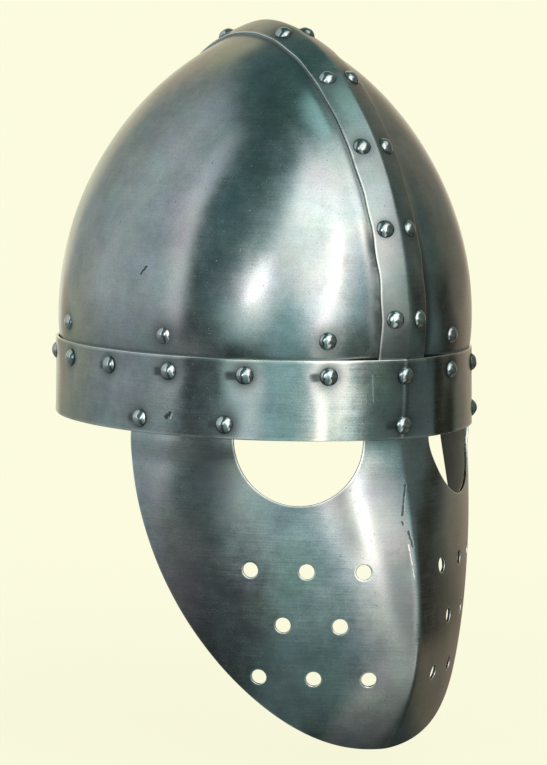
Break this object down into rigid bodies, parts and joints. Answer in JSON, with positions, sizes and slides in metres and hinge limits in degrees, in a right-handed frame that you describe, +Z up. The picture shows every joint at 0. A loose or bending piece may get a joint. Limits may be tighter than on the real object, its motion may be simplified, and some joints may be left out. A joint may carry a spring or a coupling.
{
  "type": "riveted helmet with face plate",
  "caption": "Iron helmet of two riveted skull halves under a crest band, with a brow band, a keeled face plate with eye openings and breath holes, and a leather liner.",
  "frame": {"origin": "centre of the brow band's oval, in the plane of its bottom edge, which is the head opening", "axes": "+Z up towards the top of the skull, -Y to the front, +X towards the wearer's left"},
  "size_m": [0.2034, 0.2595, 0.3547],
  "materials": {
    "plate_iron": "satin, oiled, lightly brushed",
    "rivet_iron": "polished by hand",
    "washer_iron": "dull",
    "liner_leather": "vegetable tanned, waxed"
  },
  "bodies": {
    "root": {"skull_half_right": "plate_iron", "skull_half_left": "plate_iron", "crest_band": "plate_iron", "brow_band": "plate_iron", "face_plate": "plate_iron", "brow_rivet_front": "rivet_iron", "brow_rivets_right": "rivet_iron", "brow_rivets_left": "rivet_iron", "band_lap_rivet": "rivet_iron", "face_rivet_front": "rivet_iron", "face_rivets_right": "rivet_iron", "face_rivets_left": "rivet_iron", "crest_rivets_right": "rivet_iron", "crest_rivets_left": "rivet_iron", "liner_rivets": "rivet_iron", "liner_washers": "washer_iron", "liner_band": "liner_leather", "liner_tongue_1": "liner_leather", "liner_tongue_2": "liner_leather", "liner_tongue_3": "liner_leather", "liner_tongue_4": "liner_leather", "liner_tongue_5": "liner_leather", "liner_tongue_6": "liner_leather", "liner_tongue_7": "liner_leather", "liner_tongue_8": "liner_leather"}
  },
  "joints": []
}
